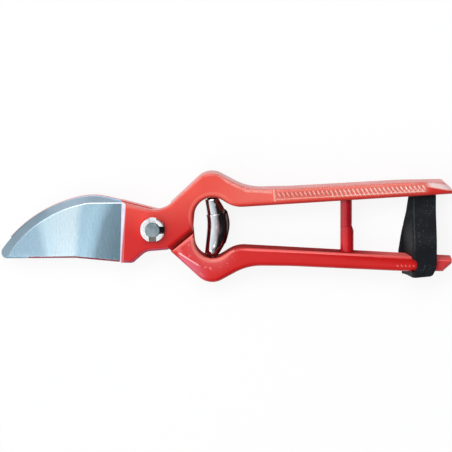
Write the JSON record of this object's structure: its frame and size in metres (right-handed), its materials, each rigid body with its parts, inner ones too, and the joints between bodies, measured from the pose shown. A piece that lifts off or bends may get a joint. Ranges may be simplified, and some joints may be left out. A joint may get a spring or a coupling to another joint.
{
  "type": "pruning shears",
  "caption": "Forged bypass pruning shears with enamelled handles, a wide ground blade over a hooked counter blade, a volute return spring and a strap that holds them shut.",
  "frame": {"origin": "centre of the pivot bolt's head, on its back face, which rests on the table", "axes": "+X from the blade towards the handles' tails, +Y across the shears towards the upper handle, +Z along the pivot axis, up from the table towards the nut"},
  "size_m": [0.21, 0.0514, 0.019],
  "materials": {
    "red_enamel": "gloss",
    "bright_steel": "polished",
    "black_strap": "matt"
  },
  "bodies": {
    "lower_handle": {"rear_arm": "red_enamel", "pivot_bolt": "bright_steel", "tension_washer": "bright_steel", "pivot_nut": "bright_steel", "lower_spring_peg": "bright_steel", "lower_stop_post": "red_enamel", "volute_spring": "bright_steel"},
    "upper_handle": {"front_arm": "red_enamel", "upper_spring_peg": "bright_steel", "upper_stop_post": "red_enamel", "strap_pin": "bright_steel"},
    "strap": {"lock_strap": "black_strap"}
  },
  "joints": [
    {"name": "blade_pivot", "type": "hinge", "parent": "lower_handle", "child": "upper_handle", "pos_m": [0, 0, 0.0086], "axis": [0, 0, 1], "range_deg": [0, 28], "deforming": ["volute_spring", "lock_strap"]},
    {"name": "strap_release", "type": "hinge", "parent": "upper_handle", "child": "strap", "pos_m": [0.1259, 0.01703, 0.0086], "axis": [0, 0, 1], "range_deg": [0, 55], "deforming": ["lock_strap"]}
  ]
}
